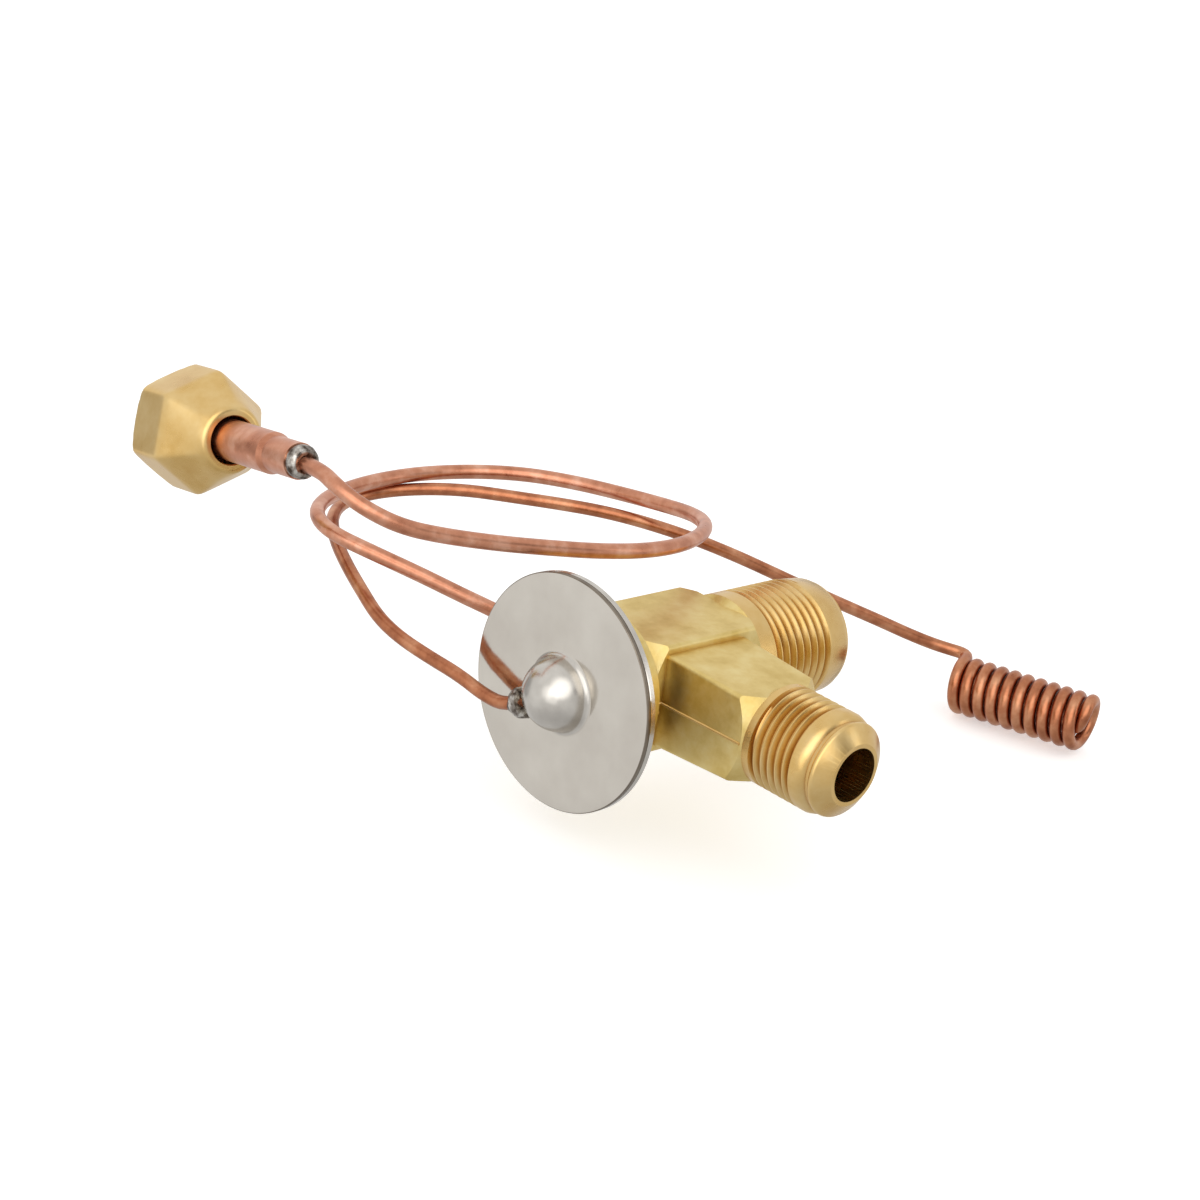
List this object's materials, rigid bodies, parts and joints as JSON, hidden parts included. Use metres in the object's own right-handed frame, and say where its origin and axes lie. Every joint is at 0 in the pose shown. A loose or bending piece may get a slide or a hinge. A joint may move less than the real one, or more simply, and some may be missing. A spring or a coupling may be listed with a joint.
{
  "type": "thermostatic expansion valve",
  "caption": "Brass refrigerant expansion valve with male flare ports, a stainless diaphragm head, a coiled sensing bulb on its capillary and an external equalizer line with a flare nut.",
  "frame": {"origin": "end of the outlet port's thread, on the main axis", "axes": "+X along the main axis from the diaphragm head out of the outlet port, inlet branch along -Y, +Z square to the forging's parting plane"},
  "size_m": [0.1373, 0.1123, 0.0523],
  "materials": {
    "brass_forging": "satin forged brass",
    "brass_turned": "machined brass",
    "brass_nut": "satin brass",
    "stainless_polished": "polished stainless steel",
    "steel_inner": "bright steel",
    "strainer_mesh": "fine woven wire",
    "copper_tube": "bright drawn copper",
    "solder": "silver solder",
    "seal_rubber": "black rubber"
  },
  "bodies": {
    "valve": {"valve_body": "brass_forging", "head_cap": "stainless_polished", "head_dish": "stainless_polished", "diaphragm": "stainless_polished", "push_rod_seals": "seal_rubber", "valve_seat": "brass_turned", "superheat_spring": "steel_inner", "inlet_strainer": "strainer_mesh", "strainer_ring": "brass_turned", "capillary_tube": "copper_tube", "capillary_solder": "solder", "equalizer_tube": "copper_tube", "equalizer_solder": "solder", "stub_tube": "copper_tube", "stub_solder": "solder"},
    "valve_train": {"diaphragm_plate": "brass_turned", "push_rods": "steel_inner", "ball_carrier": "brass_turned", "valve_ball": "steel_inner"},
    "adjuster": {"adjusting_nut": "brass_turned"},
    "nut": {"flare_nut": "brass_nut"}
  },
  "joints": [
    {"name": "ball_slide", "type": "slide", "parent": "valve", "child": "valve_train", "axis": [1, 0, 0], "range_m": [-0.0008, 0], "stiffness_N_per_m": 3000, "deforming": ["superheat_spring", "diaphragm"]},
    {"name": "adjuster_turn", "type": "hinge", "parent": "valve", "child": "adjuster", "pos_m": [0, 0, 0], "axis": [1, 0, 0], "range_deg": [-720, 720]},
    {"name": "nut_spin", "type": "hinge", "parent": "valve", "child": "nut", "pos_m": [-0.074, 0.0553, 0.0224], "axis": [-0.133, -0.9721, 0.193], "continuous": true}
  ]
}
